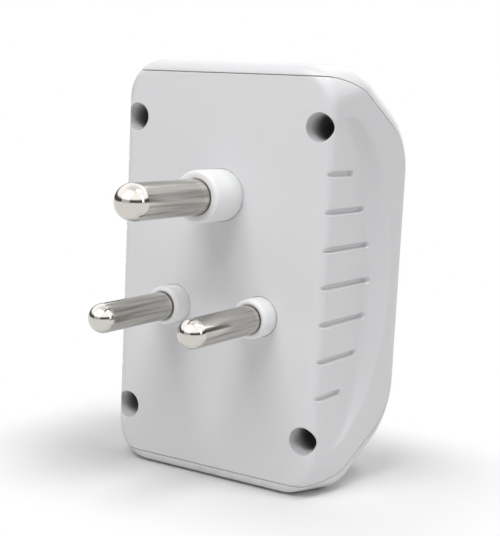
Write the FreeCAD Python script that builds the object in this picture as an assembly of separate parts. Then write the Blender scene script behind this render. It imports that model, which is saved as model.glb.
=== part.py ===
"""Three-way plug adapter for 16 A three-pin wall sockets, in millimetres.

The origin is on the earth pin's axis, in the plane where the plug meets the
wall socket.  The pins point along +Y, the sockets face -Y and +Z is up.
"""
import FreeCAD, Part
import math
import os

V = FreeCAD.Vector

# Plug: pin sizes and places of the 16 A three-pin system
line_pitch = 25.4            # between the line and neutral axes
earth_rise = 28.6            # earth axis above the line and neutral axes
earth_pin_d = 8.7
earth_pin_reach = 28.6       # beyond the wall socket's face
line_pin_d = 7.05
line_pin_reach = 21.1
pin_relief = 0.35            # the root inside the collar is this much thinner on the radius

# Insulating collars round the pin roots
earth_collar_d = 12.8
earth_collar_out = 11.0      # how far it stands out of the back face
line_collar_d = 9.7
line_collar_out = 5.2
collar_head_over = 1.6       # head's lip beyond the collar, on the radius
collar_head_t = 2.0
collar_rim = 0.5             # chamfer at the outer rim
collar_mouth = 0.4           # chamfer at the bore
flange_over = 1.2            # pin's flange beyond its root, on the radius
flange_t = 1.0
spigot_r = 2.0               # riveted end behind the flange
rivet_head_r = 3.0
rivet_head_t = 0.8
close_fit = 0.05             # radial, between metal parts and the holes they sit in
loose_fit = 0.1              # the same for moulded parts

# Housing: outline at the back, flared sides, sloping top and bottom flanks
back_w = 60.0
back_h = 104.2
corner_r = 10.3
front_corner_r = 1.0
depth = 35.2
side_flare = 0.19            # widening of each side per mm of depth
end_flare = 0.03             # the same for the top and bottom
flank_slope = 0.694          # fall of the flanks per mm of depth
flank_start = 13.3           # depth at which a flank leaves the top or bottom
bend_r = 20.4                # between flank and front
front_edge_r = 5.6
back_edge_r = 3.0
least_r = 0.3                # smallest corner or bend inside the walls
wall = 2.4
earth_above_middle = 19.7    # earth axis above the housing's middle

# Seam between the two shells
seam_from_front = 4.5
seam_from_flank = 5.6
seam_from_end = 2.9          # where it reaches the back face
seam_bend_r = 22.0           # between its flank and its end
seam_gap = 0.15
tongue_h = 1.6
tongue_inset = 1.3
tongue_clear = 0.15

# Finger grip sunk in each side
grip_depth = 3.0             # where the middle of its elliptic outline lies
grip_from_front = 13.7       # from the front to the foot of its ramp
grip_from_end = 12.2         # the same from the top or bottom edge at the back
grip_floor_in = 0.25         # floor inside the side, at the back face
grip_floor_flare = 0.03      # widening of the floor per mm of depth
grip_ramp = 1.3              # widening of the grip per mm above its floor, towards the front
grip_end_share = 1.3         # the ramp is this much gentler towards the ends
grip_rim_r = 2.0             # rounding between the ramp and the side
grip_rim_lift = 0.02         # the rounding starts this far above the side
grip_floor_r = 5.5           # hollow between the floor and the ramp
grip_floor_turn = 34.0       # degrees that the hollow turns before the ramp
grip_floor_rise = 0.96       # height at which it meets the ramp
grip_under = 4.0             # the cutters' reach below and above the floor
grip_above = 4.0
slot_count = 7
slot_spread = 0.855          # share of the grooves' half height at which the last one lies
slot_w = 1.7                 # at the floor
slot_bottom_w = 0.7
slot_t = 1.0
slot_over = 1.0              # the cutters' reach above the floor
slot_start = 0.4
slot_from_front = 13.2       # the grooves end on an ellipse that stays this far
slot_from_end = 8.5          # from the front, and from the ends of the grip

# Case screws in deep wells
screw_from_side = 3.8
screw_from_end = 14.5
well_r = 3.1
well_mouth_r = 3.45          # at the back face, tapering to the well's bore
well_taper = 3.5
well_from_front = 18.2
well_wall = 1.5
well_floor = 2.0
screw_hole_r = 1.7
screw_r = 1.45
screw_head_r = 2.8
screw_head_t = 2.0
screw_len = 10.0
screw_tip = 1.5
boss_r = 3.2
pilot_extra = 1.5            # pilot hole beyond the screw's tip
cross_w = 0.7
cross_reach = 1.7
cross_deep = 1.2

# Sockets in the front: one three-pin outlet, and a two-pin outlet in each flank
earth_hole_r = 4.75
line_hole_r = 3.95
hole_chamfer = 0.6
contact_wall = 0.7
contact_slack = 0.08         # radial, between a plug's pin and the open contact
contact_behind_front = 1.0
base_over = 1.4              # contact's base beyond its tube
base_t = 1.0
split_w = 0.9
split_len = 13.0
ring_from_mouth = 7.8
ring_t = 0.7
ring_w = 2.0
ring_opening = 3.0
two_pin_pitch = 19.0
two_pin_share = 0.372        # how far along the flank's depth the outlet's middle sits
two_pin_hole_r = 2.75
two_pin_chamfer = 0.4
two_pin_recess_w = 36.0
two_pin_recess_h = 14.2
two_pin_recess_t = 1.2
two_pin_contact_r = 2.45
two_pin_contact_wall = 0.5
two_pin_contact_len = 12.0
two_pin_contact_gap = 0.4    # between the wall's inner side and the contact's mouth
two_pin_split_w = 0.6
two_pin_split_len = 7.0
leg_w = 4.0
leg_t = 0.6
foot_len = 5.4
foot_rivet = 2.9             # from the leg to the rivet

# Brass strips behind the contacts
strip_t = 1.0
strip_w = 6.0
strip_over = 4.0             # beyond the last rivet
pad_h = 6.8
pad_in = 3.2                 # the end pads reach this much further inwards
strip_rivet_r = 1.2
strip_rivet_head_r = 1.9
strip_rivet_head_t = 0.7

# Insulating plate that holds the contacts
plate_t = 2.4
plate_over_side = 6.3        # beyond the line and neutral axes
plate_over_top = 7.2         # above the earth axis
plate_over_bottom = 8.7      # below the line and neutral axes
plate_depth = 9.0
plate_hole_gap = 0.2
tab_w = 9.0
tab_h = 7.5
plate_screw_above = 11.2     # above the earth axis
plate_screw_below = 5.2      # below the line and neutral axes
post_r = 2.8
plate_screw_r = 1.2
plate_screw_head_r = 2.3
plate_screw_head_t = 1.4
plate_screw_len = 7.5
plate_cross_reach = 1.3
plate_cross_deep = 0.9

# Values that follow from the ones above
back_y = -earth_collar_out
middle_z = -earth_above_middle
line_x = line_pitch / 2
line_up = earth_above_middle - earth_rise
earth_r = earth_pin_d / 2
line_r = line_pin_d / 2
strip_depth = wall + collar_head_t
contact_mouth = depth - wall - contact_behind_front
flank_angle = math.atan(flank_slope)
flank_top = back_h / 2 + end_flare * (flank_start - back_edge_r) + flank_slope * flank_start
grip_reach = depth - grip_from_front - grip_depth
grip_half_h = back_h / 2 - grip_from_end
grip_floor_x = back_w / 2 - grip_floor_in
slot_reach = depth - slot_from_front
slot_half_h = grip_half_h - slot_from_end
screw_x = back_w / 2 - screw_from_side
screw_z = back_h / 2 - screw_from_end
well_deep = depth - well_from_front
two_pin_depth = flank_start + two_pin_share * (depth - flank_start)
two_pin_up = flank_top - flank_slope * two_pin_depth
two_pin_x = two_pin_pitch / 2
two_pin_wall = two_pin_recess_t + wall
plate_screw_top = earth_above_middle + plate_screw_above
plate_screw_bottom = line_up - plate_screw_below


def at(x, d, z):
    """Point at depth d behind the back face, z above the housing's middle."""
    return V(x, back_y - d, middle_z + z)


def cylinder(r, d0, d1, x, z):
    """Round bar along the depth from d0 to d1."""
    return Part.makeCylinder(r, d1 - d0, at(x, d0, z), V(0, -1, 0))


def block(x0, x1, d0, d1, z0, z1):
    return Part.makeBox(x1 - x0, d1 - d0, z1 - z0, at(x0, d1, z0))


def turned(outline, x, z):
    """Piece turned about the depth axis at x, z from (radius, depth) points."""
    points = [at(x + r, d, z) for r, d in outline]
    face = Part.Face(Part.makePolygon(points + points[:1]))
    return face.revolve(at(x, 0, z), V(0, 1, 0), 360)


def flipped_x(shape):
    return shape.mirror(at(0, 0, 0), V(1, 0, 0))


def flipped_z(shape):
    return shape.mirror(at(0, 0, 0), V(0, 0, 1))


def on_both_sides(shape):
    return [shape, flipped_x(shape)]


def at_corners(shape):
    """The shape at the upper right, and its mirror images in the other corners."""
    pair = on_both_sides(shape)
    return pair + [flipped_z(s) for s in pair]


def on_flank(shape):
    """Place a shape made at the origin, +Z outwards, on the upper outlet."""
    placed = shape.copy()
    placed.rotate(V(0, 0, 0), V(1, 0, 0), math.degrees(flank_angle))
    placed.translate(at(0, two_pin_depth, two_pin_up))
    return placed


def rounded_rectangle(half_w, half_h, r, d):
    """Closed outline with round corners at depth d."""
    corner = r * math.sqrt(0.5)
    edges = []
    for sx, sz in ((1, 1), (-1, 1), (-1, -1), (1, -1)):
        cx = sx * (half_w - r)
        cz = sz * (half_h - r)
        start = at(sx * half_w, d, cz)
        middle = at(cx + sx * corner, d, cz + sz * corner)
        end = at(cx, d, sz * half_h)
        if sx * sz < 0:
            start, end = end, start
        edges.append(Part.Arc(start, middle, end).toShape())
    wire = []
    for i, edge in enumerate(edges):
        following = edges[(i + 1) % 4]
        wire.append(edge)
        wire.append(Part.LineSegment(edge.Vertexes[-1].Point, following.Vertexes[0].Point).toShape())
    return Part.Wire(wire)


def prism(points):
    """Prism across the whole width, from (depth, height) points of its upper half."""
    ring = [at(-back_w, d, z) for d, z in points]
    ring += [at(-back_w, d, -z) for d, z in reversed(points)]
    return Part.Face(Part.makePolygon(ring + ring[:1])).extrude(V(2 * back_w, 0, 0))


def bent(solid, d, r):
    """A prism with its cross edges at depth d rounded."""
    edges = [e for e in solid.Edges
             if all(abs(v.Y - (back_y - d)) < 1e-6 for v in e.Vertexes)
             and abs(e.Vertexes[1].Z - e.Vertexes[0].Z) < 1e-6]
    return solid.makeFillet(r, edges)


def side_profile(from_front, from_flank):
    """Prism seen from the side, with its front and flanks moved inwards."""
    front = depth - from_front
    top = flank_top - from_flank / math.cos(flank_angle)
    return bent(prism([(0, top), (front, top - flank_slope * front)]), front,
                max(bend_r - from_front, least_r))


def touches(edge, shell):
    """True when the edge lies on the shell all along."""
    first, last = edge.ParameterRange
    for share in (0.1, 0.5, 0.9):
        point = Part.Vertex(edge.valueAt(first + share * (last - first)))
        if point.distToShape(shell)[0] > 1e-3:
            return False
    return True


def back_edges(solid, level):
    return [e for e in solid.Edges if all(abs(v.Y - level) < 1e-6 for v in e.Vertexes)]


def housing_form(inset):
    """The whole housing as one solid, with every surface moved inwards by inset."""
    half_w = back_w / 2 - side_flare * back_edge_r - inset
    half_h = back_h / 2 - end_flare * back_edge_r - inset
    sections = [rounded_rectangle(half_w + side_flare * d, half_h + end_flare * d,
                                  max(r - inset, least_r), d)
                for d, r in ((inset, corner_r), (depth, front_corner_r))]
    flared = Part.makeLoft(sections, True, True)
    profile = side_profile(inset, inset)
    solid = flared.common(profile)
    flared_skin = Part.Shell(flared.Faces)
    profile_skin = Part.Shell(profile.Faces)
    at_back = back_edges(solid, back_y - inset)
    at_front = [e for e in solid.Edges
                if not any(e.isSame(b) for b in at_back)
                and touches(e, flared_skin) and touches(e, profile_skin)]
    solid = solid.makeFillet(front_edge_r - inset, at_front)
    return solid.makeFillet(back_edge_r - inset, back_edges(solid, back_y - inset))


def seam_region(beyond):
    """Region of the back shell, its border moved outwards by beyond."""
    front = depth - seam_from_front + beyond
    top = flank_top - (seam_from_flank - beyond) / math.cos(flank_angle)
    end = back_h / 2 - seam_from_end + beyond
    knee = (top - end) / flank_slope
    region = prism([(-wall, end), (knee, end), (front, top - flank_slope * front)])
    region = bent(region, front, bend_r - seam_from_front + beyond)
    return bent(region, knee, seam_bend_r + beyond)


def grip_outline(rise, growth):
    """Ellipse parallel to the right-hand grip's floor, rise above it and wider by growth."""
    forward = V(grip_floor_flare, -1, 0).normalize()
    outward = V(1, grip_floor_flare, 0).normalize()
    centre = at(grip_floor_x + grip_floor_flare * grip_depth, grip_depth, 0) + outward * rise
    top = centre + V(0, 0, grip_half_h + grip_end_share * growth)
    front = centre + forward * (grip_reach + growth)
    return Part.Wire(Part.Ellipse(top, front, centre).toShape())


def grip_cone(low, high, extra):
    """Space inside the sloping ramp between two heights above the floor."""
    sections = [grip_outline(rise, extra + grip_ramp * rise) for rise in (low, high)]
    return Part.makeLoft(sections, True, True)


def grip_wall():
    """The grip's own wall, before its inside is cut away."""
    offset = wall * math.hypot(1, grip_ramp)
    return grip_cone(-wall, grip_above, offset)


def side_space():
    """Space beside the housing, from just above its flared right-hand side."""
    points = []
    for d, out in ((-depth, 0), (2 * depth, 0), (2 * depth, depth), (-depth, depth)):
        side = back_w / 2 + side_flare * (d - back_edge_r)
        points.append(at(side + grip_rim_lift + out, d, -back_h))
    face = Part.Face(Part.makePolygon(points + points[:1]))
    return face.extrude(V(0, 0, 2 * back_h))


def grip_bowl():
    """Hollow that rises softly from the floor and then passes under the ramp."""
    turn = math.radians(grip_floor_turn)
    end_rise = grip_floor_r * (1 - math.cos(turn))
    end_growth = grip_ramp * grip_floor_rise - (grip_floor_rise - end_rise) / math.tan(turn)
    start_growth = end_growth - grip_floor_r * math.sin(turn)
    sections = []
    for share in (0, 1 / 3, 2 / 3, 1):
        angle = turn * share
        growth = start_growth + grip_floor_r * math.sin(angle)
        sections.append(grip_outline(grip_floor_r * (1 - math.cos(angle)), growth))
    top_growth = end_growth + (grip_above - end_rise) / math.tan(turn)
    upper = Part.makeLoft([sections[-1], grip_outline(grip_above, top_growth)], True, True)
    return Part.makeLoft(sections, True, False).fuse(upper)


def grip_space():
    """Cutter of the right-hand grip: flat floor, soft hollow, ramp and rounded rim."""
    cone = grip_cone(-grip_under, 2 * grip_above, 0)
    side = side_space()
    space = side.fuse(cone)
    cone_skin = Part.Shell(cone.Faces)
    side_skin = Part.Shell(side.Faces)
    rim = [e for e in space.Edges if touches(e, cone_skin) and touches(e, side_skin)]
    return space.makeFillet(grip_rim_r, rim).common(grip_bowl())


def grip_slots():
    """Cutters for the short cross grooves in the right-hand grip's floor."""
    forward = V(grip_floor_flare, -1, 0).normalize()
    outward = V(1, grip_floor_flare, 0).normalize()
    lean = (slot_w - slot_bottom_w) / 2 / slot_t
    low = slot_bottom_w / 2
    high = slot_w / 2 + lean * slot_over
    rise = slot_t + slot_over
    cutters = []
    for i in range(slot_count):
        share = slot_spread * (2 * i / (slot_count - 1) - 1)
        end = slot_reach * math.sqrt(1 - share ** 2) - slot_w / 2
        start = at(grip_floor_x + grip_floor_flare * slot_start, slot_start, share * slot_half_h)
        start -= outward * slot_t
        corners = [start + outward * o + V(0, 0, z)
                   for o, z in ((0, -low), (0, low), (rise, high), (rise, -high))]
        channel = Part.Face(Part.makePolygon(corners + corners[:1])).extrude(forward * (end - slot_start))
        round_end = Part.makeCone(low, high, rise, start + forward * (end - slot_start), outward)
        cutters.append(channel.fuse(round_end))
    return cutters


def well_cutter():
    """Deep screw well with a tapered mouth and the screw's hole in its floor."""
    outline = [(0, -wall), (well_mouth_r, -wall), (well_mouth_r, 0), (well_r, well_taper),
               (well_r, well_deep), (screw_hole_r, well_deep), (screw_hole_r, well_deep + wall),
               (0, well_deep + wall)]
    return turned(outline, screw_x, screw_z)


def well_post():
    return cylinder(well_r + well_wall, 0, well_deep + well_floor, screw_x, screw_z)


def plate_posts():
    """Posts that carry the insulating plate, with pilot holes for its screws."""
    posts = []
    pilots = []
    for z in (plate_screw_top, plate_screw_bottom):
        posts.append(cylinder(post_r, wall / 2, plate_depth, 0, z))
        tip = plate_depth + plate_t - plate_screw_len
        pilots.append(cylinder(plate_screw_r + close_fit, tip - close_fit, plate_depth + wall, 0, z))
    return posts, pilots


def back_housing(outer, inner, tongue_form):
    """Back shell: collar holes, wells, finger grips and the seam's tongue."""
    region = seam_region(0)
    shell = outer.cut(inner).common(region)
    tongue = tongue_form.cut(inner).common(seam_region(tongue_h))
    grip_walls = [g.common(outer).common(region) for g in on_both_sides(grip_wall())]
    wells = [w.common(outer) for w in at_corners(well_post())]
    posts, pilots = plate_posts()
    solid = shell.fuse([tongue] + grip_walls + wells + posts)
    cutters = on_both_sides(grip_space()) + at_corners(well_cutter()) + pilots
    for slot in grip_slots():
        cutters += on_both_sides(slot)
    earth_bore_r = earth_collar_d / 2 + loose_fit
    line_bore_r = line_collar_d / 2 + loose_fit
    cutters.append(cylinder(earth_bore_r, -wall, strip_depth, 0, earth_above_middle))
    cutters += on_both_sides(cylinder(line_bore_r, -wall, strip_depth, line_x, line_up))
    return solid.cut(cutters)


def boss(outer):
    """Screw boss inside the cover, standing on the well's floor."""
    return cylinder(boss_r, well_deep + well_floor, depth, screw_x, screw_z).common(outer)


def boss_pilot():
    tip = well_deep + screw_len
    start = well_deep + well_floor - wall
    return cylinder(screw_r + close_fit, start, tip + pilot_extra, screw_x, screw_z)


def front_hole(r, x, z):
    """Cutter for a chamfered hole through the front."""
    start = depth - wall - contact_behind_front
    outline = [(0, start), (r, start), (r, depth - hole_chamfer), (r + hole_chamfer, depth),
               (r + hole_chamfer, depth + wall), (0, depth + wall)]
    return turned(outline, x, z)


def stadium(length, height, t):
    """Flat plate with round ends, centred on the origin, from z = 0 upwards."""
    r = height / 2
    half = length / 2 - r
    plate = Part.makeBox(2 * half, height, t, V(-half, -r, 0))
    ends = [Part.makeCylinder(r, t, V(x, 0, 0)) for x in (-half, half)]
    return plate.fuse(ends).removeSplitter()


def two_pin_outlet():
    """Thickened wall and cutter of the upper two-pin outlet."""
    thick = stadium(two_pin_recess_w + 2 * wall, two_pin_recess_h + 2 * wall, two_pin_wall - wall / 2)
    thick.translate(V(0, 0, -two_pin_wall))
    cutter = stadium(two_pin_recess_w, two_pin_recess_h, two_pin_recess_t + wall)
    cutter.translate(V(0, 0, -two_pin_recess_t))
    holes = []
    for x in (-two_pin_x, two_pin_x):
        holes.append(Part.makeCylinder(two_pin_hole_r, 2 * wall, V(x, 0, -two_pin_wall - wall / 2)))
        holes.append(Part.makeCone(two_pin_hole_r, two_pin_hole_r + two_pin_chamfer, two_pin_chamfer,
                                   V(x, 0, -two_pin_recess_t - two_pin_chamfer)))
    return on_flank(thick), [on_flank(cutter)] + [on_flank(h) for h in holes]


def front_cover(outer, inner, groove_form):
    """Front shell: wraps the flanks and the front and carries the outlets."""
    shell = outer.cut(inner).cut(seam_region(seam_gap))
    shell = shell.cut(groove_form.common(seam_region(tongue_h + tongue_clear)))
    thick, cutters = two_pin_outlet()
    solid = shell.fuse(at_corners(boss(outer)) + [thick, flipped_z(thick)])
    cutters += [flipped_z(c) for c in cutters] + at_corners(boss_pilot())
    cutters.append(front_hole(earth_hole_r, 0, earth_above_middle))
    cutters += on_both_sides(front_hole(line_hole_r, line_x, line_up))
    return solid.cut(cutters)


def pin(r, reach, collar_out, seat, x, z):
    """Solid brass pin with a domed end, a flange and a riveted end at depth seat."""
    root = r - pin_relief
    tip = -earth_collar_out - reach
    shoulder = -collar_out
    flange_r = root + flange_over
    outline = [(0, seat + rivet_head_t), (rivet_head_r, seat + rivet_head_t), (rivet_head_r, seat),
               (spigot_r, seat), (spigot_r, strip_depth), (flange_r, strip_depth),
               (flange_r, strip_depth - flange_t), (root, strip_depth - flange_t), (root, shoulder),
               (r, shoulder), (r, tip + r), (0, tip + r)]
    dome = Part.makeSphere(r, at(x, tip + r, z), V(0, 1, 0), 0, 90, 360)
    return turned(outline, x, z).fuse(dome).removeSplitter()


def collar(r, out, pin_r, x, z):
    """Nylon collar with a head behind the wall and a seat for the pin's flange."""
    bore = pin_r - pin_relief + close_fit
    seat_r = pin_r - pin_relief + flange_over + close_fit
    head_r = r + collar_head_over
    outline = [(bore + collar_mouth, -out), (r - collar_rim, -out), (r, -out + collar_rim), (r, wall),
               (head_r, wall), (head_r, strip_depth), (seat_r, strip_depth),
               (seat_r, strip_depth - flange_t), (bore, strip_depth - flange_t),
               (bore, -out + collar_mouth)]
    return turned(outline, x, z)


def front_contact(pin_r, base, x, z):
    """Split tube on a round base that takes one pin of a plug from the front."""
    inner_r = pin_r + contact_slack
    tube_r = inner_r + contact_wall
    hole_r = spigot_r + close_fit
    outline = [(hole_r, base), (tube_r + base_over, base), (tube_r + base_over, base + base_t),
               (tube_r, base + base_t), (tube_r, contact_mouth), (inner_r, contact_mouth),
               (inner_r, base + base_t), (hole_r, base + base_t)]
    solid = turned(outline, x, z)
    start = contact_mouth - split_len
    half = split_w / 2
    reach = tube_r + split_w
    upright = block(x - half, x + half, start, contact_mouth + wall, z - reach, z + reach)
    level = block(x - reach, x + reach, start, contact_mouth + wall, z - half, z + half)
    return solid.cut([upright, level])


def contact_ring(pin_r, x, z):
    """Open steel ring that presses the split tube on the pin."""
    inner_r = pin_r + contact_slack + contact_wall
    start = contact_mouth - ring_from_mouth
    end = start + ring_w
    ring = cylinder(inner_r + ring_t, start, end, x, z).cut(cylinder(inner_r, start, end, x, z))
    half = ring_opening / 2
    opening = block(x - half, x + half, start, end, z + inner_r / 2, z + inner_r + 2 * ring_t)
    return ring.cut(opening)


def line_strip():
    """Brass strip from the line pin to the contacts at the top and bottom."""
    x0 = line_x - strip_w / 2
    x1 = line_x + strip_w / 2
    back = strip_depth
    front = strip_depth + strip_t
    strip_end = rivet_up() + strip_over
    solid = block(x0, x1, back, front, -strip_end, strip_end)
    pads = [block(x0 - pad_in, x1, back, front, strip_end - pad_h, strip_end),
            block(x0 - pad_in, x1, back, front, -strip_end, pad_h - strip_end)]
    holes = [cylinder(spigot_r + close_fit, back, front, line_x, line_up)]
    for z in (rivet_up(), -rivet_up()):
        holes.append(cylinder(strip_rivet_r + close_fit, back, front, two_pin_x, z))
    return solid.fuse(pads).removeSplitter().cut(holes)


def contact_end():
    """Depth and height of the closed end of the upper two-pin contacts."""
    back_off = two_pin_wall + two_pin_contact_gap + two_pin_contact_len
    d = two_pin_depth - back_off * math.sin(flank_angle)
    z = two_pin_up - back_off * math.cos(flank_angle)
    return d, z


def rivet_up():
    """Height of the rivet through the foot of the upper two-pin contacts."""
    return contact_end()[1] - foot_rivet


def two_pin_contact():
    """Upper line contact of the two-pin outlet: tube, leg and riveted foot."""
    mouth = two_pin_wall + two_pin_contact_gap
    end = mouth + two_pin_contact_len
    outer_r = two_pin_contact_r + two_pin_contact_wall
    tube = Part.makeCylinder(outer_r, two_pin_contact_len, V(two_pin_x, 0, -end))
    bore = Part.makeCylinder(two_pin_contact_r, two_pin_contact_len,
                             V(two_pin_x, 0, -end + two_pin_contact_wall))
    half = two_pin_split_w / 2
    split = Part.makeBox(2 * outer_r, 2 * half, two_pin_split_len,
                         V(two_pin_x - outer_r, -half, -mouth - two_pin_split_len))
    tube = on_flank(tube.cut([bore, split]))
    d, z = contact_end()
    foot_back = strip_depth + strip_t
    x0 = two_pin_x - leg_w / 2
    x1 = two_pin_x + leg_w / 2
    leg = block(x0, x1, foot_back, d + two_pin_contact_wall, z - leg_t / 2, z + leg_t / 2)
    foot = block(x0, x1, foot_back, foot_back + leg_t, z - foot_len, z + leg_t / 2)
    hole = cylinder(strip_rivet_r + close_fit, foot_back, foot_back + leg_t, two_pin_x, rivet_up())
    return tube.fuse([leg, foot]).removeSplitter().cut(hole)


def strip_rivet():
    """Rivet through a foot and the strip, with a head at each end."""
    low = strip_depth - strip_rivet_head_t
    high = strip_depth + strip_t + leg_t
    outline = [(0, low), (strip_rivet_head_r, low), (strip_rivet_head_r, strip_depth),
               (strip_rivet_r, strip_depth), (strip_rivet_r, high), (strip_rivet_head_r, high),
               (strip_rivet_head_r, high + strip_rivet_head_t), (0, high + strip_rivet_head_t)]
    return turned(outline, two_pin_x, rivet_up())


def contact_plate():
    """Insulating plate round the three long contacts, screwed to its posts."""
    front = plate_depth + plate_t
    half = line_x + plate_over_side
    top = earth_above_middle + plate_over_top
    solid = block(-half, half, plate_depth, front, line_up - plate_over_bottom, top)
    tab = block(-tab_w / 2, tab_w / 2, plate_depth, front, top, top + tab_h)
    earth_gap_r = earth_r + contact_slack + contact_wall + plate_hole_gap
    line_gap_r = line_r + contact_slack + contact_wall + plate_hole_gap
    holes = [cylinder(earth_gap_r, plate_depth, front, 0, earth_above_middle)]
    holes += on_both_sides(cylinder(line_gap_r, plate_depth, front, line_x, line_up))
    for z in (plate_screw_top, plate_screw_bottom):
        holes.append(cylinder(plate_screw_r + loose_fit, plate_depth, front, 0, z))
    return solid.fuse(tab).removeSplitter().cut(holes)


def cross_recess(x, z, head_d, reach, deep, direction):
    """Cutter for the cross in a screw head, going in from depth head_d."""
    half = cross_w / 2
    d0 = min(head_d, head_d + direction * deep)
    d1 = max(head_d, head_d + direction * deep)
    return [block(x - half, x + half, d0, d1, z - reach, z + reach),
            block(x - reach, x + reach, d0, d1, z - half, z + half)]


def case_screw():
    """Pan-head screw at the bottom of the upper right-hand well."""
    head = well_deep - screw_head_t
    tip = well_deep + screw_len
    bevel = screw_head_t / 3
    outline = [(0, head), (screw_head_r - bevel, head), (screw_head_r, head + bevel),
               (screw_head_r, well_deep), (screw_r, well_deep), (screw_r, tip - screw_tip), (0, tip)]
    cross = cross_recess(screw_x, screw_z, head, cross_reach, cross_deep, 1)
    return turned(outline, screw_x, screw_z).cut(cross)


def plate_screw(z):
    """Screw through the insulating plate into a post of the back shell."""
    seat = plate_depth + plate_t
    head = seat + plate_screw_head_t
    tip = seat - plate_screw_len
    bevel = plate_screw_head_t / 3
    outline = [(0, head), (plate_screw_head_r - bevel, head), (plate_screw_head_r, head - bevel),
               (plate_screw_head_r, seat), (plate_screw_r, seat), (plate_screw_r, tip + plate_screw_r),
               (0, tip)]
    return turned(outline, 0, z).cut(cross_recess(0, z, head, plate_cross_reach, plate_cross_deep, -1))


def save(name, shape):
    shape.exportStep("parts/" + name + ".step")


os.makedirs("parts", exist_ok=True)

outer_form = housing_form(0)
inner_form = housing_form(wall)
save("back_housing", back_housing(outer_form, inner_form, housing_form(tongue_inset)))
save("front_cover", front_cover(outer_form, inner_form, housing_form(tongue_inset - tongue_clear)))

earth_seat = strip_depth + base_t
line_seat = strip_depth + strip_t + base_t
save("earth_pin", pin(earth_r, earth_pin_reach, earth_collar_out, earth_seat, 0, earth_above_middle))
line_pin = pin(line_r, line_pin_reach, line_collar_out, line_seat, line_x, line_up)
save("line_pin", line_pin)
save("neutral_pin", flipped_x(line_pin))
save("earth_pin_collar", collar(earth_collar_d / 2, earth_collar_out, earth_r, 0, earth_above_middle))
line_collar = collar(line_collar_d / 2, line_collar_out, line_r, line_x, line_up)
save("line_pin_collar", line_collar)
save("neutral_pin_collar", flipped_x(line_collar))

save("earth_contact", front_contact(earth_r, strip_depth, 0, earth_above_middle))
line_contact = front_contact(line_r, strip_depth + strip_t, line_x, line_up)
save("line_contact", line_contact)
save("neutral_contact", flipped_x(line_contact))
save("earth_contact_ring", contact_ring(earth_r, 0, earth_above_middle))
line_ring = contact_ring(line_r, line_x, line_up)
save("line_contact_ring", line_ring)
save("neutral_contact_ring", flipped_x(line_ring))

strip = line_strip()
save("line_strip", strip)
save("neutral_strip", flipped_x(strip))
upper_line = two_pin_contact()
save("upper_line_contact", upper_line)
save("upper_neutral_contact", flipped_x(upper_line))
save("lower_line_contact", flipped_z(upper_line))
save("lower_neutral_contact", flipped_z(flipped_x(upper_line)))
save("strip_rivets", Part.makeCompound(at_corners(strip_rivet())))

save("contact_plate", contact_plate())
save("plate_screws", Part.makeCompound([plate_screw(plate_screw_top), plate_screw(plate_screw_bottom)]))
save("case_screws", Part.makeCompound(at_corners(case_screw())))
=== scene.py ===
import math

import bpy
from mathutils import Matrix, Vector


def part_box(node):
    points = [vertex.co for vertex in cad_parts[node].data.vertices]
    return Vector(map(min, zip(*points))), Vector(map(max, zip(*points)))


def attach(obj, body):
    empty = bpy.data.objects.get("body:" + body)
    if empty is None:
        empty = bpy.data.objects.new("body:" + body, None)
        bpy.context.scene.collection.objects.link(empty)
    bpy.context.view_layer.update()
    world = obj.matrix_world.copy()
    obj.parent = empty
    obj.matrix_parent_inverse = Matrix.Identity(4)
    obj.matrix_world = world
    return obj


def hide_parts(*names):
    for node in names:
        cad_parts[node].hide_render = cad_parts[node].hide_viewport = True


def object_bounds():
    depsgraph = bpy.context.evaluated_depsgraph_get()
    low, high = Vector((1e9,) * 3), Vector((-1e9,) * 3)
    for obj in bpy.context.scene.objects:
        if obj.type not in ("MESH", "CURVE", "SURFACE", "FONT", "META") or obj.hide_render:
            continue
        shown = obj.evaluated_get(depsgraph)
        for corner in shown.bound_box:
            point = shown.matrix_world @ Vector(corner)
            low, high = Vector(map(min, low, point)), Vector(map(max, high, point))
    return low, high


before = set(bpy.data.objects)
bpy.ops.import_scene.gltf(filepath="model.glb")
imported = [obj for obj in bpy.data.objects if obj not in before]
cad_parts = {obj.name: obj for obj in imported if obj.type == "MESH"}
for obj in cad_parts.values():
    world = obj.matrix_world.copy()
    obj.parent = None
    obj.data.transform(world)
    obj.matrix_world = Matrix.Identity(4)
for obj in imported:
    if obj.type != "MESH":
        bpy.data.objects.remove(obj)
cad_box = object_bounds()
scene = bpy.context.scene
scene.view_settings.view_transform = "Standard"


# The photograph's camera.
# The adapter is seen from its plug side, from a little above and from the right of the pins. Place,
# direction and focal length come from a fit to the pins, the wells, the seam and the outline.
camera_at = Vector((-0.15533, 0.22977, 0.02375))
camera_along = Vector((0.51301, -0.84635, -0.14322))
camera_roll = 0.04821
focal_mm = 78.61
sensor_height_mm = 36.0


def shown(name, data):
    """An object of a mesh, lamp or camera, linked to the scene."""
    piece = bpy.data.objects.new(name, data)
    scene.collection.objects.link(piece)
    return piece


def aimed(at, along):
    """Where a lamp or camera stands that looks along a direction, upright."""
    return Matrix.Translation(at) @ along.to_track_quat("-Z", "Y").to_matrix().to_4x4()


camera_data = bpy.data.cameras.new("photo_camera")
camera_data.sensor_fit = "VERTICAL"
camera_data.sensor_height = sensor_height_mm
camera_data.lens = focal_mm
camera_data.clip_start = 0.01
scene.camera = shown("photo_camera", camera_data)
scene.camera.matrix_world = aimed(camera_at, camera_along) @ Matrix.Rotation(camera_roll, 4, "Z")


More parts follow.
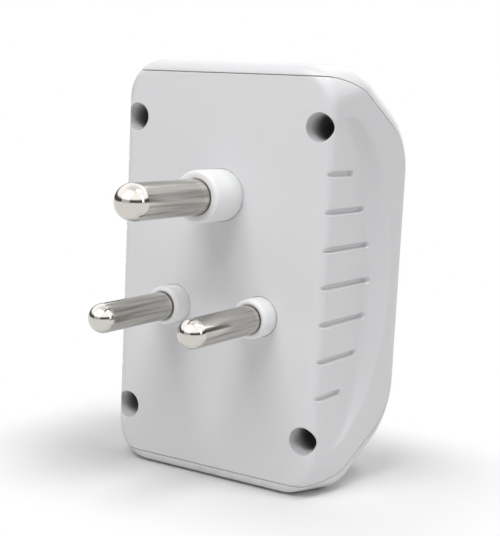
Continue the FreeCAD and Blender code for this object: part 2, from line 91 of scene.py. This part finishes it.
# The two shells of the housing.
# Injection moulded in white ABS, in a spark-eroded steel tool: an even fine grain, a satin gloss that
# varies in slow patches, walls that wave a little, faint rubs and soft edges, and painted shade deep in
# the wells.
class Signal:
    """A socket on its way through a node tree. Python's operators add Math nodes to it."""

    def __init__(self, group, socket=None):
        self.group = group
        self.socket = socket

    def node(self, kind, settings=None, sockets=None, output=0):
        """Any node. Its settings come first, with a ramp's under stops, and then its sockets' values
        or links, with several links to one socket in a list."""
        made = self.group.nodes.new(kind)
        for name, value in (settings or {}).items():
            if name == "stops":
                ramp = made.color_ramp.elements
                while len(ramp) < len(value):
                    ramp.new(0.5)
                for stop, (place, level) in zip(ramp, value):
                    stop.position = place
                    stop.color = (level, level, level, 1)
            else:
                setattr(made, name, value)
        for name, value in (sockets or {}).items():
            for one in value if isinstance(value, list) else [value]:
                if isinstance(one, Signal):
                    self.group.links.new(one.socket, made.inputs[name])
                else:
                    made.inputs[name].default_value = one
        return Signal(self.group, made.outputs[output] if made.outputs else None)

    def math(self, operation, first, second=0.0):
        return self.node("ShaderNodeMath", {"operation": operation}, {0: first, 1: second})

    def __add__(self, other):
        return self.math("ADD", self, other)

    def __radd__(self, other):
        return self.math("ADD", other, self)

    def __sub__(self, other):
        return self.math("SUBTRACT", self, other)

    def __rsub__(self, other):
        return self.math("SUBTRACT", other, self)

    def __mul__(self, other):
        return self.math("MULTIPLY", self, other)

    def __rmul__(self, other):
        return self.math("MULTIPLY", other, self)

    def __truediv__(self, other):
        return self.math("DIVIDE", self, other)

    def clamped(self):
        return self.node("ShaderNodeClamp", sockets={"Value": self})

    def between(self, low, high):
        """0 at low, 1 at high, in a smooth step."""
        return self.node("ShaderNodeMapRange", {"interpolation_type": "SMOOTHSTEP"},
                         {"Value": self, "From Min": low, "From Max": high})

    def parts(self):
        """The x, y and z of a vector."""
        split = self.node("ShaderNodeSeparateXYZ", sockets={"Vector": self}).socket.node
        return [Signal(self.group, one) for one in split.outputs]


def new_finish(name, constants=None):
    """A material, its Principled surface, its tree's starting signal and its places."""
    material = bpy.data.materials.new(name)
    material.use_nodes = True
    surface = material.node_tree.nodes["Principled BSDF"]
    for socket, value in (constants or {}).items():
        surface.inputs[socket].default_value = value
    tree = Signal(material.node_tree)
    return material, surface, tree, tree.node("ShaderNodeTexCoord", output="Object")


def feed(target, **links):
    """Links signals to a node's sockets, named with _ for a space."""
    for name, signal in links.items():
        signal.group.links.new(signal.socket, target.inputs[name.replace("_", " ")])


def noise(tree, places, size, detail=2.0):
    """Noise whose features are about size metres wide."""
    return tree.node("ShaderNodeTexNoise",
                     sockets={"Vector": places, "Scale": 1 / size, "Detail": detail})


def long_noise(tree, places, sizes, detail=2.0):
    """Noise whose features are about as long as the three sizes along x, y and z."""
    scaled = tree.node("ShaderNodeMapping",
                       sockets={"Vector": places, "Scale": tuple(1 / size for size in sizes)})
    return noise(tree, scaled, 1.0, detail)


def tinted(tree, mask, low, high):
    """The colour low where mask is 0 and high where it is 1, each three numbers or a signal."""
    # A Mix node's sockets for colours go by number, because their names repeat.
    low, high = (one if isinstance(one, Signal) else (*one, 1) for one in (low, high))
    return tree.node("ShaderNodeMix", {"data_type": "RGBA"}, {0: mask, 6: low, 7: high}, output=2)


def bumped(tree, height, strength, depth, under=None):
    """Normal of a surface with bumps, over another normal where one is given."""
    sockets = {"Strength": strength, "Distance": depth, "Height": height}
    if under is not None:
        sockets["Normal"] = under
    return tree.node("ShaderNodeBump", sockets=sockets)


def moulded_skin(tree, places, wave, grain, depth, edge):
    """Normal of a moulded wall: grain of this depth, on waves six times as deep, on soft edges."""
    softened = tree.node("ShaderNodeBevel", {"samples": 6}, {"Radius": edge})
    waves = noise(tree, places, wave, detail=1.0)
    waved = bumped(tree, waves, strength=0.35, depth=6 * depth, under=softened)
    return bumped(tree, noise(tree, places, grain), strength=0.3, depth=depth, under=waved)


abs_white = (0.735, 0.738, 0.750)
abs_worn = (0.715, 0.717, 0.725)
# Colour of the painted shade on the wells' walls.
abs_painted_well_shade = (0.19, 0.19, 0.19)
abs_rough = 0.285
abs_patch_rough = 0.12
abs_rub_rough = 0.05
rub_sizes = (0.0006, 0.02, 0.012)
rub_levels = (0.62, 0.90)

back_y = -0.011
case_head_r = 0.0028
well_r = 0.00325
well_deep = 0.0185
# Depths behind the back face where the wells' painted shade starts and where it is full.
well_shade_from = 0.0015
well_shade_full_from = 0.0085
case_low, case_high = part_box("case_screws")
well_x = case_high.x - case_head_r
well_z = (case_high.z - case_low.z) / 2 - case_head_r
middle_z = (case_high.z + case_low.z) / 2


def painted_well_shade(tree, places):
    """Mask of painted shade: 0 outside the four wells and at their mouths, 1 on their walls further in.
    """
    x, y, z = places.parts()
    aside = tree.math("ABSOLUTE", x) - well_x
    up = tree.math("ABSOLUTE", z - middle_z) - well_z
    from_axis = tree.math("SQRT", aside * aside + up * up)
    below = back_y - y
    return (tree.math("LESS_THAN", from_axis, well_r) * below.between(well_shade_from, well_shade_full_from)
            * tree.math("LESS_THAN", below, well_deep))


housing_finish, surface, tree, places = new_finish("white_abs", {"IOR": 1.5})
patches = noise(tree, places, size=0.022, detail=3.0)
rubs = long_noise(tree, places, rub_sizes).between(*rub_levels)
# Base colour: rubs of wear, and painted shade on the wells' walls further in.
feed(surface,
     Base_Color=tinted(tree, painted_well_shade(tree, places), tinted(tree, rubs, abs_white, abs_worn),
                       abs_painted_well_shade),
     Roughness=abs_rough + abs_patch_rough * patches + abs_rub_rough * rubs,
     Normal=moulded_skin(tree, places, wave=0.03, grain=0.00025, depth=0.00002, edge=0.00035))


def dress(finish, *names):
    """Gives CAD nodes a finish."""
    for name in names:
        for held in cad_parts[name].material_slots:
            held.material = finish


dress(housing_finish, "back_housing", "front_cover")


# Insulating collars round the pins.
# Turned forms moulded in nylon, whiter and a little more see-through than the shells, with a round rim
# and an open mouth round the pin. A head behind the wall keeps each from being pulled out.
housing_wall = 0.0024
collar_rim = 0.0009
collar_mouth = 0.0007
collar_head_t = 0.0020
collar_head_over = 0.0016
collar_head_rim = 0.0003
flange_t = 0.0010
flange_over = 0.0012
root_in = 0.0003
earth_pin_r = 0.00435
earth_collar_r = 0.0064
earth_collar_out = 0.0110
low_pin_r = 0.003525
low_collar_r = 0.00485
low_collar_out = 0.0052

nylon_dim = (0.83, 0.835, 0.842)
nylon_bright = (0.87, 0.872, 0.876)
nylon_rough = 0.34
nylon_patch_rough = 0.16


def new_piece(name, points, faces=()):
    """An object made of points and faces."""
    mesh = bpy.data.meshes.new(name)
    mesh.from_pydata(points, [], faces)
    return shown(name, mesh)


def smoothed(mesh, degrees=30):
    """Smooth faces, with the edges kept that turn by more than degrees."""
    mesh.polygons.foreach_set("use_smooth", [True] * len(mesh.polygons))
    mesh.set_sharp_from_angle(angle=math.radians(degrees))


def rounded_ring(corners, arc_steps=6):
    """Profile points from corners (radius, y, rounding), each rounded corner an arc."""
    points = []
    for i, (r, y, rounding) in enumerate(corners):
        here = Vector((r, y))
        if not rounding:
            points.append(here)
            continue
        before = (Vector(corners[i - 1][:2]) - here).normalized()
        after = (Vector(corners[(i + 1) % len(corners)][:2]) - here).normalized()
        half = before.angle(after) / 2
        centre = here + (before + after).normalized() * (rounding / math.sin(half))
        start = here + before * (rounding / math.tan(half)) - centre
        end = here + after * (rounding / math.tan(half)) - centre
        for step in range(arc_steps + 1):
            points.append(centre + start.slerp(end, step / arc_steps).normalized() * rounding)
    return points


def turned_piece(name, corners, x, z, sides=128):
    """Closed ring turned about an axis along Y through x, z."""
    profile = rounded_ring(corners)
    count = len(profile)
    points = []
    faces = []
    for side in range(sides):
        angle = 2 * math.pi * side / sides
        points += [(x + p.x * math.cos(angle), p.y, z + p.x * math.sin(angle)) for p in profile]
        for i in range(count):
            here = side * count + i
            onward = side * count + (i + 1) % count
            ahead = ((side + 1) % sides) * count
            faces.append((here, ahead + i, ahead + (i + 1) % count, onward))
    return new_piece(name, points, faces)


def collar_corners(collar_r, pin_r, out):
    """Section of a collar: its mouth, rim, head behind the wall and foot on the pin's flange."""
    bore = pin_r - root_in
    seat_r = bore + flange_over
    end = back_y + out
    inner = back_y - housing_wall
    behind = inner - collar_head_t
    head_r = collar_r + collar_head_over
    return [(bore, end, collar_mouth), (collar_r, end, collar_rim), (collar_r, inner, 0),
            (head_r, inner, collar_head_rim), (head_r, behind, collar_head_rim),
            (seat_r, behind, 0), (seat_r, behind + flange_t, 0), (bore, behind + flange_t, 0)]


collar_finish, surface, tree, places = new_finish(
    "white_nylon", {"IOR": 1.53, "Subsurface Weight": 0.10, "Subsurface Scale": 0.0012})
patches = noise(tree, places, size=0.004, detail=3.0)
feed(surface,
     Base_Color=tinted(tree, patches, nylon_dim, nylon_bright),
     Roughness=nylon_rough + nylon_patch_rough * patches,
     Normal=moulded_skin(tree, places, wave=0.008, grain=0.0003, depth=0.00001, edge=0.0001))

for name, collar_r, pin_r, out in (
        ("earth_pin_collar", earth_collar_r, earth_pin_r, earth_collar_out),
        ("line_pin_collar", low_collar_r, low_pin_r, low_collar_out),
        ("neutral_pin_collar", low_collar_r, low_pin_r, low_collar_out)):
    low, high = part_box(name)
    collar = turned_piece(name + "_piece", collar_corners(collar_r, pin_r, out),
                          (low.x + high.x) / 2, (low.z + high.z) / 2)
    smoothed(collar.data)
    collar.data.materials.append(collar_finish)
    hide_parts(name)
    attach(collar, "root")


# The three pins.
# Solid brass turned on a lathe with a domed end, polished, then nickel plated. Fine lathe rings show
# through the plating, plugging in has drawn faint streaks whose colour also holds painted reflection
# streaks, and in the collars' mouths the pins carry painted shade.
nickel_dim = (0.36, 0.345, 0.315)
nickel_bright = (0.64, 0.62, 0.58)
# Colour of the painted shade on the pins in the collars' mouths.
nickel_painted_mouth_shade = (0.10, 0.09, 0.08)
nickel_rough = 0.08
nickel_streak_rough = 0.12
nickel_patch_rough = 0.05
streak_sizes = (0.0009, 0.03, 0.0009)
streak_levels = (0.32, 0.68)
lathe_ring_sizes = (0.05, 0.00012, 0.05)
low_pins_under_z = -0.014
low_pins_back = earth_collar_out - low_collar_out
low_pins_shorter = 0.0009
# Heights above the collar where that painted shade is full and where it is gone.
mouth_shade_full_to = 0.0001
mouth_shade_gone_from = 0.0009
dome_from = 0.0238
dome_full_from = 0.0246
dome_brightness = 0.95

pin_finish, surface, tree, places = new_finish("polished_nickel", {"Metallic": 1.0})
patches = noise(tree, places, size=0.006, detail=3.0)
# Streaks along the pins: drawn marks in the roughness, and in the colour partly painted reflection
# streaks.
streaks_and_painted_reflections = long_noise(tree, places, streak_sizes, detail=3.0)
lathe_rings = long_noise(tree, places, lathe_ring_sizes)
_, along, up = places.parts()
on_low_pin = tree.math("LESS_THAN", up, low_pins_under_z)
above_collar = along + low_pins_back * on_low_pin
on_dome = (above_collar + low_pins_shorter * on_low_pin).between(dome_from, dome_full_from)
# Tone of the pins' colour: streaks that are partly drawn marks and partly painted reflections, and the
# plain dome.
painted_reflections_and_dome = streaks_and_painted_reflections.between(*streak_levels) * (1 - on_dome) + dome_brightness * on_dome
feed(surface,
     Base_Color=tinted(tree, above_collar.between(mouth_shade_full_to, mouth_shade_gone_from),
                       nickel_painted_mouth_shade, tinted(tree, painted_reflections_and_dome, nickel_dim, nickel_bright)),
     Roughness=(nickel_rough + nickel_streak_rough * streaks_and_painted_reflections * (1 - on_dome)
                + nickel_patch_rough * patches),
     Normal=bumped(tree, lathe_rings, strength=0.12, depth=0.000004))
dress(pin_finish, "earth_pin", "line_pin", "neutral_pin")


# Case screws at the bottom of the wells, and the two screws of the contact plate.
# Pan-head steel screws with a cross recess and a coarse thread for plastic, zinc plated and driven
# home. One tree makes them all: a head, a core with a cone tip, and a triangular thread round it.
def sized_tree(name, *sizes):
    """A Geometry Nodes tree with inputs for seats, sizes and facing, and the inputs' signals."""
    group = bpy.data.node_groups.new(name, "GeometryNodeTree")
    inputs = [("Geometry", "Geometry"), *((size, "Float") for size in sizes), ("Facing", "Vector")]
    for label, kind in inputs:
        group.interface.new_socket(label, in_out="INPUT", socket_type="NodeSocket" + kind)
    group.interface.new_socket("Geometry", in_out="OUTPUT", socket_type="NodeSocketGeometry")
    tree = Signal(group)
    entry = tree.node("NodeGroupInput").socket.node
    return tree, {one.name: Signal(group, one) for one in entry.outputs if one.name}


def set_on_seats(tree, given, whole, material):
    """Ends a tree: one copy on each seat, made real, with its material."""
    copies = tree.node("GeometryNodeInstanceOnPoints", sockets={
        "Points": given["Geometry"], "Instance": whole, "Rotation": given["Facing"]})
    real = tree.node("GeometryNodeRealizeInstances", sockets={"Geometry": copies})
    dressed = tree.node("GeometryNodeSetMaterial",
                        sockets={"Geometry": real, "Material": material})
    tree.node("NodeGroupOutput", sockets={"Geometry": dressed})


def vector(tree, x=0.0, y=0.0, z=0.0):
    return tree.node("ShaderNodeCombineXYZ", sockets={"X": x, "Y": y, "Z": z})


def vector_math(tree, operation, first, second=(0, 0, 0), output="Vector"):
    return tree.node("ShaderNodeVectorMath", {"operation": operation}, {0: first, 1: second}, output)


def placed(tree, geometry, z=0.0, turn=(0, 0, 0)):
    """Turns a shape about the origin, then lifts it by z."""
    return tree.node("GeometryNodeTransform", sockets={
        "Geometry": geometry, "Rotation": turn, "Translation": vector(tree, z=z)})


def joined(tree, *shapes):
    return tree.node("GeometryNodeJoinGeometry", sockets={"Geometry": list(shapes)})


bar_sides = 32


def round_bar(tree, radius, depth, sides=bar_sides, rings=1):
    """Closed cylinder whose middle is at the origin."""
    return tree.node("GeometryNodeMeshCylinder", {"fill_type": "TRIANGLE_FAN"},
                     {"Vertices": sides, "Fill Segments": rings, "Radius": radius, "Depth": depth})


def domed(tree, geometry, radius, rise):
    """Lifts the upper faces of a shape into a shallow dome."""
    place = tree.node("GeometryNodeInputPosition")
    up = place.parts()[2]
    flat = vector_math(tree, "MULTIPLY", place, (1, 1, 0))
    share = vector_math(tree, "LENGTH", flat, output="Value") / radius
    lift = (1 - share * share).clamped() * rise * tree.math("GREATER_THAN", up, 0.0)
    return tree.node("GeometryNodeSetPosition",
                     sockets={"Geometry": geometry, "Offset": vector(tree, z=lift)})


def corner_seats(low, high, inset, y):
    """Four seats in the plane at y, inside the corners of a node's box."""
    return [(x, y, z) for x in (low.x + inset, high.x - inset)
            for z in (low.z + inset, high.z - inset)]


def planted(name, seats, tree, sizes, replaced):
    """Runs a tree on its seats and keeps the result as a plain mesh in place of a CAD node."""
    seed = new_piece(name + "_seats", seats)
    growth = seed.modifiers.new("growth", "NODES")
    growth.node_group = tree.group
    inputs = {one.name: one.identifier for one in tree.group.interface.items_tree
              if one.in_out == "INPUT"}
    for label, value in sizes.items():
        growth[inputs[label]] = value
    graph = bpy.context.evaluated_depsgraph_get()
    mesh = bpy.data.meshes.new_from_object(seed.evaluated_get(graph), depsgraph=graph)
    seed.modifiers.remove(growth)
    bpy.data.objects.remove(seed)
    mesh.name = name
    smoothed(mesh)
    piece = shown(name, mesh)
    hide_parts(replaced)
    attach(piece, "root")


zinc_dim = (0.42, 0.43, 0.45)
zinc_bright = (0.60, 0.60, 0.58)
zinc_rough = 0.24
zinc_cloud_rough = 0.22
zinc_crystal_rough = 0.08
zinc_crystal_size = 0.0006

steel_finish, surface, tree, places = new_finish("zinc_steel", {"Metallic": 1.0})
clouds = noise(tree, places, size=0.0012, detail=4.0)
crystals = tree.node("ShaderNodeTexVoronoi", output="Distance",
                     sockets={"Vector": places, "Scale": 1 / zinc_crystal_size})
feed(surface,
     Base_Color=tinted(tree, clouds, zinc_dim, zinc_bright),
     Roughness=zinc_rough + zinc_cloud_rough * clouds + zinc_crystal_rough * crystals,
     Normal=bumped(tree, clouds, strength=0.2, depth=0.00001))

head_sides = 48
head_rings = 8
sliver = 0.000004
tip_end_r = 0.0001
turn_steps = 24
thread_share = 0.9
upside_down = (math.pi, 0, 0)

screw, given = sized_tree(
    "cross_head_screw", "Head Radius", "Head Height", "Dome", "Thread Radius", "Core Radius",
    "Length", "Tip", "Pitch", "Recess Width", "Recess Reach", "Recess Depth")
rim_height = given["Head Height"] - given["Dome"]
head = domed(screw, round_bar(screw, given["Head Radius"], rim_height, head_sides, head_rings),
             given["Head Radius"], given["Dome"])
head = placed(screw, head, z=rim_height * 0.5)
arms = []
for wide, high in ((given["Recess Reach"] * 2.0, given["Recess Width"]),
                   (given["Recess Width"], given["Recess Reach"] * 2.0)):
    arm = screw.node("GeometryNodeMeshCube", sockets={
        "Size": vector(screw, wide, high, given["Recess Depth"] * 2.0)})
    arms.append(placed(screw, arm, z=given["Head Height"]))
cut_head = screw.node("GeometryNodeMeshBoolean", {"operation": "DIFFERENCE", "solver": "EXACT"},
                      {"Mesh 1": head, "Mesh 2": arms})
cut_head = screw.node("GeometryNodeMergeByDistance",
                      sockets={"Geometry": cut_head, "Distance": sliver})

straight = given["Length"] - given["Tip"]
core = placed(screw, round_bar(screw, given["Core Radius"], straight), z=straight * -0.5)
tip = screw.node("GeometryNodeMeshCone", sockets={
    "Vertices": bar_sides, "Radius Top": tip_end_r, "Radius Bottom": given["Core Radius"],
    "Depth": given["Tip"]})
tip = placed(screw, tip, z=straight * -1.0, turn=upside_down)

helix = screw.node("GeometryNodeCurveSpiral", sockets={
    "Resolution": turn_steps, "Rotations": straight * thread_share / given["Pitch"],
    "Start Radius": given["Core Radius"], "End Radius": given["Core Radius"],
    "Height": straight * thread_share})
triangle = screw.node("GeometryNodeCurvePrimitiveCircle", sockets={
    "Resolution": 3, "Radius": given["Thread Radius"] - given["Core Radius"]})
thread = screw.node("GeometryNodeCurveToMesh",
                    sockets={"Curve": helix, "Profile Curve": triangle, "Fill Caps": True})
thread = placed(screw, thread, z=straight * -0.5 * (1 + thread_share))
set_on_seats(screw, given, joined(screw, cut_head, core, tip, thread), steel_finish)

facing_back = (-math.pi / 2, 0, 0)
facing_front = (math.pi / 2, 0, 0)
case_head_t = 0.0020
planted("case_screw_set", corner_seats(case_low, case_high, case_head_r, case_high.y - case_head_t),
        screw, {"Head Radius": case_head_r, "Head Height": case_head_t, "Dome": 0.0009,
                "Thread Radius": 0.00143, "Core Radius": 0.00105, "Length": 0.0100,
                "Tip": 0.0015, "Pitch": 0.0012, "Recess Width": 0.0007, "Recess Reach": 0.0017,
                "Recess Depth": 0.0012, "Facing": facing_back}, "case_screws")

low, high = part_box("plate_screws")
plate_head_r = 0.0023
plate_head_t = 0.0014
planted("plate_screw_pair",
        [(0, low.y + plate_head_t, z) for z in (low.z + plate_head_r, high.z - plate_head_r)],
        screw, {"Head Radius": plate_head_r, "Head Height": plate_head_t, "Dome": 0.0006,
                "Thread Radius": 0.00118, "Core Radius": 0.00085, "Length": 0.0075,
                "Tip": 0.0012, "Pitch": 0.0010, "Recess Width": 0.0006, "Recess Reach": 0.0013,
                "Recess Depth": 0.0009, "Facing": facing_front}, "plate_screws")


# Rivets of the contact feet.
# Short brass rivets, each pressed through a contact's foot and the strip until both ends spread into
# low domes.
brass_tarnished = (0.50, 0.35, 0.15)
brass_clean = (0.80, 0.62, 0.33)
brass_rough = 0.24
brass_tarnish_rough = 0.16
brass_rolled_rough = 0.10
rolling_mark_sizes = (0.0002, 0.0002, 0.01)

contact_finish, surface, tree, places = new_finish("plain_brass", {"Metallic": 1.0})
tarnish = noise(tree, places, size=0.007, detail=4.0)
rolled = long_noise(tree, places, rolling_mark_sizes)
feed(surface,
     Base_Color=tinted(tree, tarnish, brass_tarnished, brass_clean),
     Roughness=brass_rough + brass_tarnish_rough * tarnish + brass_rolled_rough * rolled,
     Normal=bumped(tree, rolled, strength=0.15, depth=0.00001))

rivet_rings = 6
rim_share = 0.4

rivet, given = sized_tree("domed_rivet", "Head Radius", "Head Height", "Shank Radius", "Grip")
rim_height = given["Head Height"] * rim_share
pressed = domed(rivet, round_bar(rivet, given["Head Radius"], rim_height, rings=rivet_rings),
                given["Head Radius"], given["Head Height"] * (1 - rim_share))
upper = placed(rivet, pressed, z=given["Grip"] * 0.5 + rim_height * 0.5)
lower = placed(rivet, upper, turn=upside_down)
shank = round_bar(rivet, given["Shank Radius"], given["Grip"])
set_on_seats(rivet, given, joined(rivet, upper, lower, shank), contact_finish)

low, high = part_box("strip_rivets")
rivet_r = 0.0019
rivet_head_t = 0.0007
planted("strip_rivet_set", corner_seats(low, high, rivet_r, (low.y + high.y) / 2),
        rivet, {"Head Radius": rivet_r, "Head Height": rivet_head_t, "Shank Radius": 0.0012,
                "Grip": high.y - low.y - 2 * rivet_head_t, "Facing": facing_front},
        "strip_rivets")


# Strips and contacts inside.
# Punched and bent from rolled brass sheet, or drawn as split tubes, with a dull film where air has
# reached them. Open rings of spring steel press the long contacts on a plug's pins.
dress(contact_finish, "line_strip", "neutral_strip", "earth_contact", "line_contact",
      "neutral_contact", "upper_line_contact", "upper_neutral_contact", "lower_line_contact",
      "lower_neutral_contact")
dress(steel_finish, "earth_contact_ring", "line_contact_ring", "neutral_contact_ring")


# The insulating plate that keeps the long contacts apart.
# Cut from cream-coloured laminate, with a faint weave, and screwed to two posts of the back shell.
laminate_dim = (0.60, 0.56, 0.44)
laminate_pale = (0.70, 0.66, 0.54)
laminate_rough = 0.42
laminate_weave_rough = 0.20
weave_scale = 500.0

plate_finish, surface, tree, places = new_finish("cream_laminate")
warp, weft = (tree.node("ShaderNodeTexWave", {"bands_direction": direction},
                        {"Vector": places, "Scale": weave_scale}, output="Fac")
              for direction in ("X", "Z"))
weave = warp * weft
patches = noise(tree, places, size=0.008, detail=3.0)
feed(surface,
     Base_Color=tinted(tree, patches, laminate_dim, laminate_pale),
     Roughness=laminate_rough + laminate_weave_rough * weave,
     Normal=bumped(tree, weave, strength=0.2, depth=0.00003))
dress(plate_finish, "contact_plate")


# The table and the studio.
# A pale surface under the adapter, which turns to plain white beyond the soft shadow at its foot. Light
# comes from five soft boxes and faintly from all round, and polished metal reflects a plain room.
floor_z = cad_box[0][2]
floor_half = 3.0
floor_white = (0.84, 0.84, 0.84, 1)
pure_white = (1, 1, 1, 1)
foot_middle = (0, -0.0285, floor_z)
foot_half = (0.033, 0.0175, 0)
shadow_full = 0.004
shadow_end = 0.045


def ray(tree, kind):
    """1 for rays of one kind, which Light Path tells apart."""
    return tree.node("ShaderNodeLightPath", output="Is " + kind + " Ray")


floor = new_piece("table", [(x * floor_half, y * floor_half, floor_z)
                            for x, y in ((-1, -1), (1, -1), (1, 1), (-1, 1))], [(0, 1, 2, 3)])
floor_finish, surface, tree, places = new_finish("table_white")
tree.group.nodes.remove(surface)
seen = (ray(tree, "Camera") + ray(tree, "Glossy") + ray(tree, "Transmission")).clamped()
aside = vector_math(tree, "ABSOLUTE", vector_math(tree, "SUBTRACT", places, foot_middle))
past_foot = vector_math(tree, "MAXIMUM", vector_math(tree, "SUBTRACT", aside, foot_half))
from_foot = vector_math(tree, "LENGTH", past_foot, output="Value")
matt = tree.node("ShaderNodeBsdfDiffuse", sockets={"Color": floor_white})
white = tree.node("ShaderNodeEmission", sockets={"Color": pure_white, "Strength": 1.0})
shade = tree.node("ShaderNodeMixShader",
                  sockets={0: seen * from_foot.between(shadow_full, shadow_end), 1: matt, 2: white})
feed(tree.group.nodes["Material Output"], Surface=shade)
floor.data.materials.append(floor_finish)

lamp_target = Vector((0, -0.02, -0.02))


def softbox(name, at, wide, high, watts):
    """A rectangular lamp, turned towards the adapter."""
    data = bpy.data.lights.new(name, "AREA")
    data.shape = "RECTANGLE"
    data.size = wide
    data.size_y = high
    data.energy = watts
    shown(name, data).matrix_world = aimed(Vector(at), lamp_target - Vector(at))


softbox("high_front", at=(0.0, 0.28, 0.38), wide=0.3, high=0.2, watts=1.35)
softbox("front", at=(0.15, 0.90, 0.35), wide=0.9, high=0.7, watts=1.15)
softbox("top_right", at=(-0.28, -0.05, 0.62), wide=0.2, high=0.2, watts=1.50)
softbox("right", at=(-0.85, -0.10, 0.33), wide=0.22, high=0.60, watts=0.8)
softbox("behind", at=(-0.10, -0.70, 0.30), wide=0.6, high=0.6, watts=1.65)

low_light = 0.18
room_light = 1.5
room_from_horizon_up = [(0.0, 0.45), (0.04, 0.06), (0.24, 0.06), (0.38, 1.0), (0.80, 1.0), (1.0, 0.7)]

world = bpy.data.worlds.new("studio")
scene.world = world
world.use_nodes = True
background = world.node_tree.nodes["Background"]
background.inputs["Color"].default_value = pure_white
tree = Signal(world.node_tree)
height = tree.node("ShaderNodeTexCoord", output="Generated").parts()[2]
room = tree.node("ShaderNodeValToRGB", {"stops": room_from_horizon_up}, {"Fac": height})
seen_white = (ray(tree, "Camera") + ray(tree, "Transmission")).clamped()
mirrored = ray(tree, "Glossy") * (1 - seen_white)
strength = low_light + (1 - low_light) * seen_white + mirrored * (room_light * room - low_light)
feed(background, Strength=strength)
